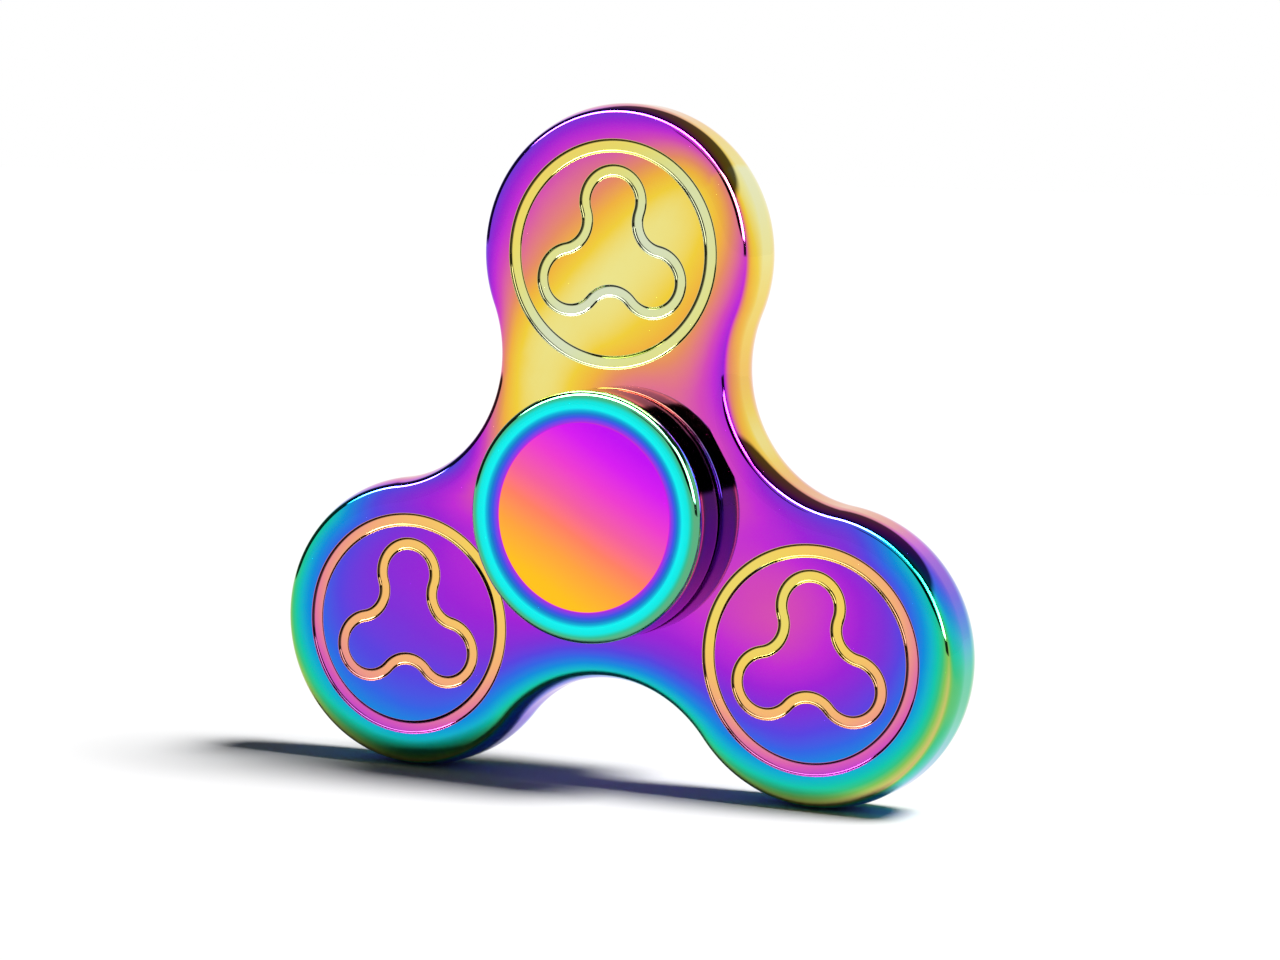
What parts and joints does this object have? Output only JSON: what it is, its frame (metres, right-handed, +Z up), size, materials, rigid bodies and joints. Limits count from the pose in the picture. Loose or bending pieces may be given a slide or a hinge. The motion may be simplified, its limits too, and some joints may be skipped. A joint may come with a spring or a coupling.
{
  "type": "fidget spinner",
  "caption": "Lobed hand spinner: a polished rainbow-coated metal body with ring and trefoil grooves turns on a central ball bearing between dished finger caps.",
  "frame": {"origin": "centre of the ball bearing, on the spin axis at half the body's thickness", "axes": "+Z up as the spinner stands on two lobes with the third pointing up; -Y out of the front face along the spin axis; +X to the right seen from the front"},
  "size_m": [0.0752, 0.0188, 0.0692],
  "materials": {
    "rainbow_body": "polished, rainbow vapour-deposited coating",
    "rainbow_cap": "polished, rainbow vapour-deposited coating",
    "bearing_steel": "ground",
    "shield_steel": "pressed sheet",
    "cage_steel": "pressed sheet",
    "ball_steel": "lapped"
  },
  "bodies": {
    "grip": {"front_cap": "rainbow_cap", "rear_cap": "rainbow_cap", "bearing_inner_ring": "bearing_steel"},
    "rotor": {"body": "rainbow_body", "bearing_outer_ring": "bearing_steel", "shield_front": "shield_steel", "shield_rear": "shield_steel"},
    "ball_cage": {"cage_front": "cage_steel", "cage_rear": "cage_steel", "cage_rivets": "cage_steel"},
    "ball_1": {"ball_1": "ball_steel"},
    "ball_2": {"ball_2": "ball_steel"},
    "ball_3": {"ball_3": "ball_steel"},
    "ball_4": {"ball_4": "ball_steel"},
    "ball_5": {"ball_5": "ball_steel"},
    "ball_6": {"ball_6": "ball_steel"},
    "ball_7": {"ball_7": "ball_steel"}
  },
  "joints": [
    {"name": "spin", "type": "hinge", "parent": "grip", "child": "rotor", "pos_m": [0, 0, 0], "axis": [0, -1, 0], "continuous": true},
    {"name": "cage_orbit", "type": "hinge", "parent": "grip", "child": "ball_cage", "pos_m": [0, 0, 0], "axis": [0, -1, 0], "continuous": true},
    {"name": "ball_1_roll", "type": "hinge", "parent": "ball_cage", "child": "ball_1", "pos_m": [0, 0, 0.0075], "axis": [0, -1, 0], "continuous": true},
    {"name": "ball_2_roll", "type": "hinge", "parent": "ball_cage", "child": "ball_2", "pos_m": [-0.00586, 0, 0.00468], "axis": [0, -1, 0], "continuous": true},
    {"name": "ball_3_roll", "type": "hinge", "parent": "ball_cage", "child": "ball_3", "pos_m": [-0.00731, 0, -0.00167], "axis": [0, -1, 0], "continuous": true},
    {"name": "ball_4_roll", "type": "hinge", "parent": "ball_cage", "child": "ball_4", "pos_m": [-0.00325, 0, -0.00676], "axis": [0, -1, 0], "continuous": true},
    {"name": "ball_5_roll", "type": "hinge", "parent": "ball_cage", "child": "ball_5", "pos_m": [0.00325, 0, -0.00676], "axis": [0, -1, 0], "continuous": true},
    {"name": "ball_6_roll", "type": "hinge", "parent": "ball_cage", "child": "ball_6", "pos_m": [0.00731, 0, -0.00167], "axis": [0, -1, 0], "continuous": true},
    {"name": "ball_7_roll", "type": "hinge", "parent": "ball_cage", "child": "ball_7", "pos_m": [0.00586, 0, 0.00468], "axis": [0, -1, 0], "continuous": true}
  ],
  "couplings": [
    {"joint": "cage_orbit", "follows": "spin", "ratio": 0.6323},
    {"joint": "ball_1_roll", "follows": "spin", "ratio": 1.7573},
    {"joint": "ball_2_roll", "follows": "spin", "ratio": 1.7573},
    {"joint": "ball_3_roll", "follows": "spin", "ratio": 1.7573},
    {"joint": "ball_4_roll", "follows": "spin", "ratio": 1.7573},
    {"joint": "ball_5_roll", "follows": "spin", "ratio": 1.7573},
    {"joint": "ball_6_roll", "follows": "spin", "ratio": 1.7573},
    {"joint": "ball_7_roll", "follows": "spin", "ratio": 1.7573}
  ]
}
